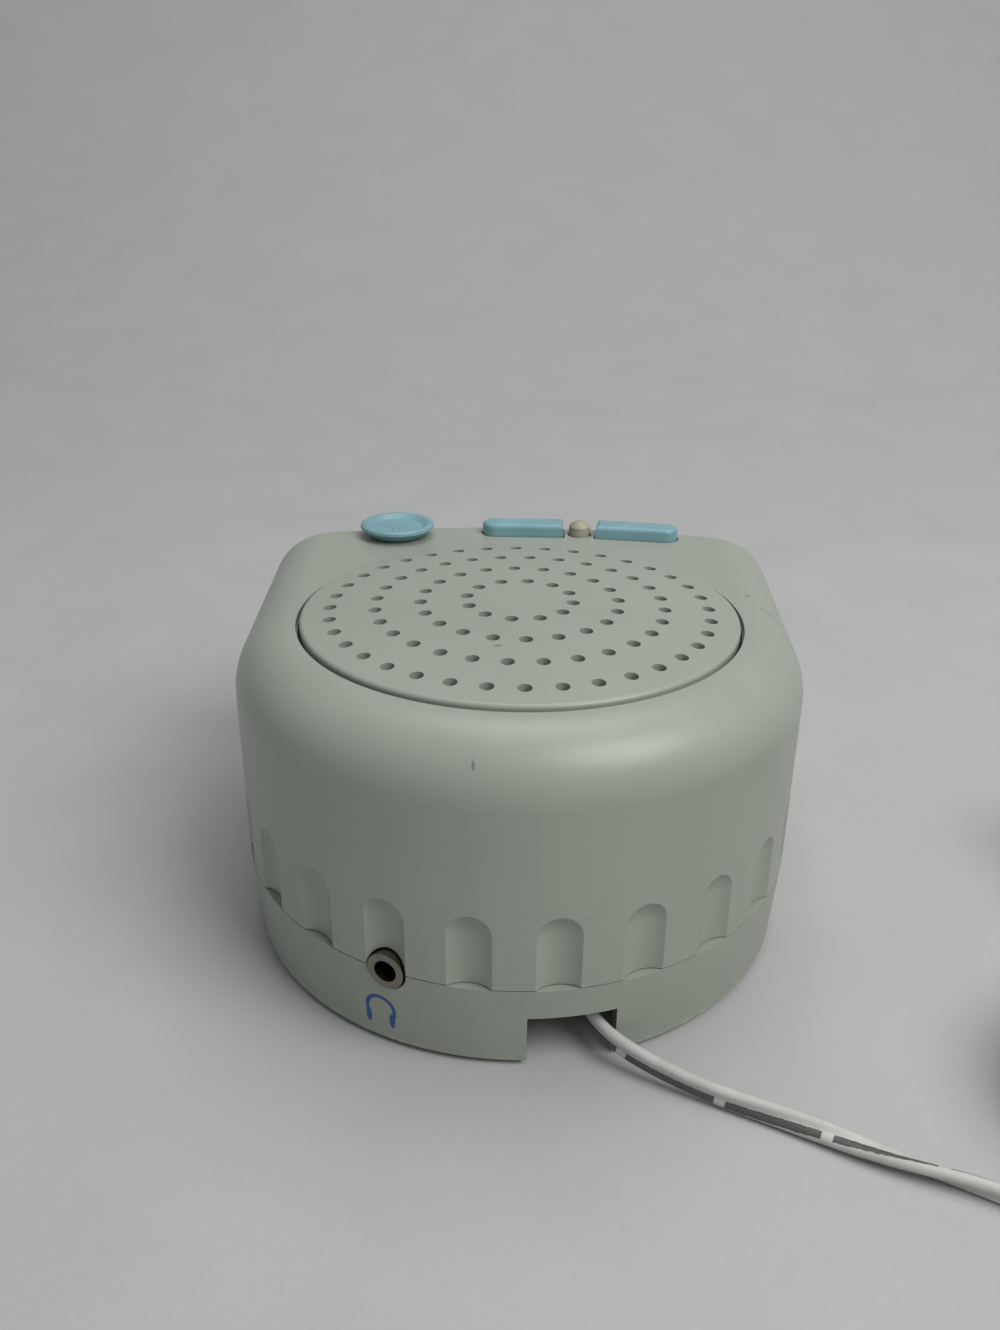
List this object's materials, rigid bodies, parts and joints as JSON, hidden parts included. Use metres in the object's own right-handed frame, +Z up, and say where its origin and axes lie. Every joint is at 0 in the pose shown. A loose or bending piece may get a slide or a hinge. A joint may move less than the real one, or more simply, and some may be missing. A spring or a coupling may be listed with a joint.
{
  "type": "white noise sound machine",
  "caption": "Small mains-powered bedside sound machine with a domed speaker grille, volume knob, push buttons, headphone socket and a lead to a wall adapter.",
  "frame": {"origin": "on the table under the middle of the machine's footprint", "axes": "+Z up, -Y towards the buttons at the front, +Y towards the cord recess and headphone socket at the back"},
  "size_m": [0.178, 0.1333, 0.0552],
  "materials": {
    "housing": "satin",
    "blue_plastic": "satin",
    "cream_plastic": "satin",
    "black_cloth": "matte",
    "steel": "brushed",
    "ferrite": "matte",
    "paper_cone": "matte",
    "foam": "matte",
    "copper": "lacquered",
    "circuit_board": "satin",
    "black_plastic": "matte",
    "plated_sleeve": "polished",
    "brass_plated": "polished",
    "cord_grey": "satin",
    "red_lead": "satin",
    "foot_rubber": "matte"
  },
  "bodies": {
    "machine": {"upper_housing": "housing", "base_tray": "housing", "speaker_grille": "housing", "grille_cloth": "black_cloth", "speaker_basket": "steel", "speaker_screws": "steel", "speaker_magnet": "ferrite", "speaker_surround": "foam", "speaker_spider": "paper_cone", "switch_right": "black_plastic", "switch_left": "black_plastic", "switch_round": "black_plastic", "volume_potentiometer": "steel", "control_board": "circuit_board", "control_screws": "steel", "main_board": "circuit_board", "main_board_screws": "steel", "sound_chip": "black_plastic", "capacitors": "black_plastic", "headphone_socket": "black_plastic", "headphone_sleeve": "plated_sleeve", "power_socket": "black_plastic", "housing_screws": "steel", "rubber_feet": "foot_rubber", "speaker_lead_red": "red_lead", "speaker_lead_black": "black_plastic", "ribbon_cable": "cord_grey", "power_plug": "cord_grey", "plug_barrel": "plated_sleeve", "cord_run": "cord_grey", "cord_coil": "cord_grey", "cord_tail": "cord_grey", "adapter_front": "cord_grey", "adapter_back": "cord_grey", "adapter_blades": "brass_plated", "adapter_core": "ferrite", "adapter_relief": "cord_grey"},
    "knob": {"volume_knob": "blue_plastic", "potentiometer_shaft": "steel"},
    "push_right": {"button_right": "blue_plastic", "plunger_right": "black_plastic"},
    "push_left": {"button_left": "blue_plastic", "plunger_left": "black_plastic"},
    "push_round": {"button_round": "cream_plastic", "plunger_round": "black_plastic"},
    "cone": {"speaker_cone": "paper_cone", "voice_coil": "copper"}
  },
  "joints": [
    {"name": "volume_turn", "type": "hinge", "parent": "machine", "child": "knob", "pos_m": [0.0232, -0.03614, 0.04989], "axis": [0, -0.0523, 0.9986], "range_deg": [-140, 140]},
    {"name": "press_right", "type": "slide", "parent": "machine", "child": "push_right", "axis": [0, 0.0523, -0.9986], "range_m": [0, 0.0006], "stiffness_N_per_m": 1500, "springref_m": -0.0003},
    {"name": "press_left", "type": "slide", "parent": "machine", "child": "push_left", "axis": [0, 0.0523, -0.9986], "range_m": [0, 0.0006], "stiffness_N_per_m": 1500, "springref_m": -0.0003},
    {"name": "press_round", "type": "slide", "parent": "machine", "child": "push_round", "axis": [0, 0.0523, -0.9986], "range_m": [0, 0.0006], "stiffness_N_per_m": 1500, "springref_m": -0.0003},
    {"name": "cone_stroke", "type": "slide", "parent": "machine", "child": "cone", "axis": [0, -0.0523, 0.9986], "range_m": [-0.0005, 0.0005], "stiffness_N_per_m": 2000}
  ]
}
